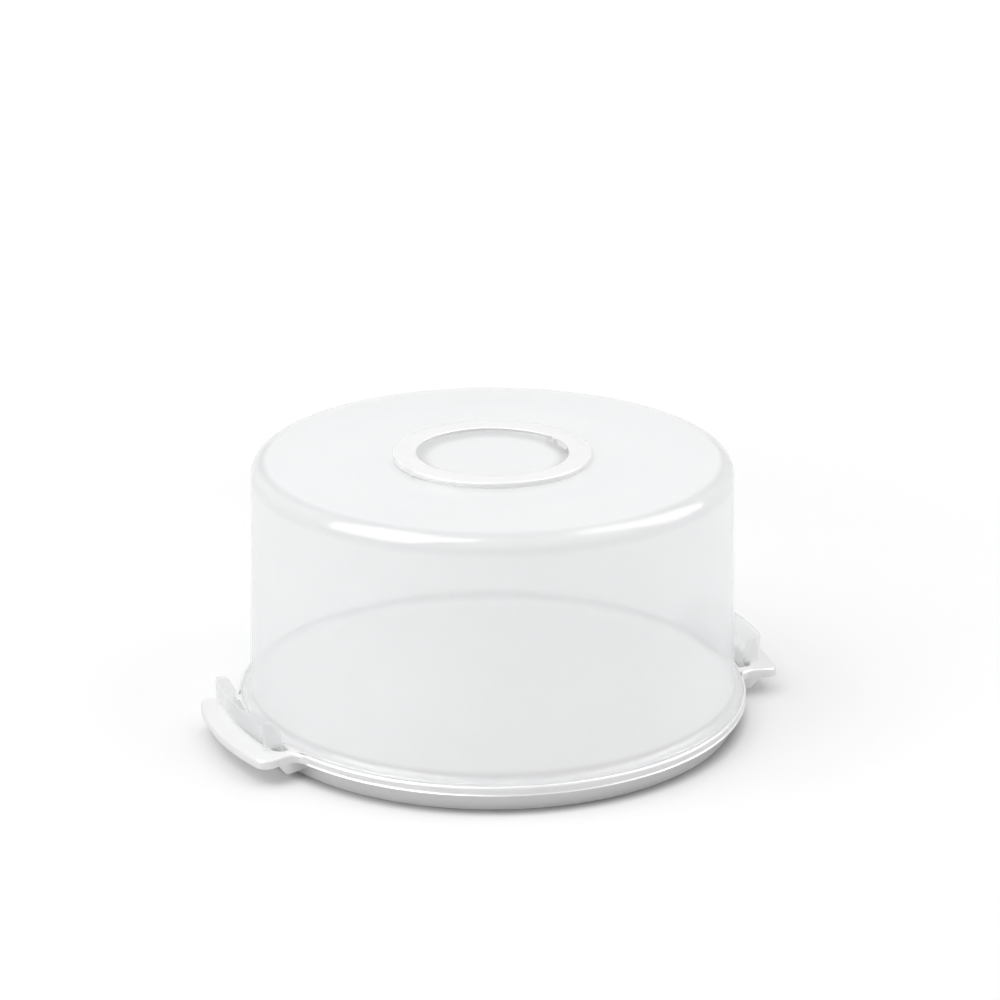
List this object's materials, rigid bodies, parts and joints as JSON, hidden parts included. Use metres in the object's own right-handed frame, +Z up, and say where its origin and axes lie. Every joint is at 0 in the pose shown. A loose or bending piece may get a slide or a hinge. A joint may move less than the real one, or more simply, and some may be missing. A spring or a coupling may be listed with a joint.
{
  "type": "cake carrier",
  "caption": "Round cake carrier: white tray with two side handles, frosted lift-off dome with two lifting tabs, and a fold-up ring handle on top.",
  "frame": {"origin": "centre of the foot ring's footprint, on the surface that the tray stands on", "axes": "+Z up; X through the two side handles and the ring handle's hinge blocks; the picture looks from -Y and a little from -X"},
  "size_m": [0.36, 0.312, 0.1677],
  "materials": {
    "tray_white": "satin white moulded plastic",
    "dome_frosted": "frosted translucent moulded plastic, glossy outside",
    "ring_white": "satin white moulded plastic"
  },
  "bodies": {
    "tray": {"base_tray": "tray_white"},
    "dome": {"dome_cover": "dome_frosted", "left_hinge_block": "ring_white", "right_hinge_block": "ring_white"},
    "front_ring": {"front_half_ring": "ring_white"},
    "rear_ring": {"rear_half_ring": "ring_white"}
  },
  "joints": [
    {"name": "lid_lift", "type": "slide", "parent": "tray", "child": "dome", "axis": [0, 0, 1], "range_m": [0, 0.17]},
    {"name": "front_ring_fold", "type": "hinge", "parent": "dome", "child": "front_ring", "pos_m": [0, -0.0092, 0.1661], "axis": [-1, 0, 0], "range_deg": [0, 98]},
    {"name": "rear_ring_fold", "type": "hinge", "parent": "dome", "child": "rear_ring", "pos_m": [0, 0.0092, 0.1661], "axis": [1, 0, 0], "range_deg": [0, 98]}
  ]
}
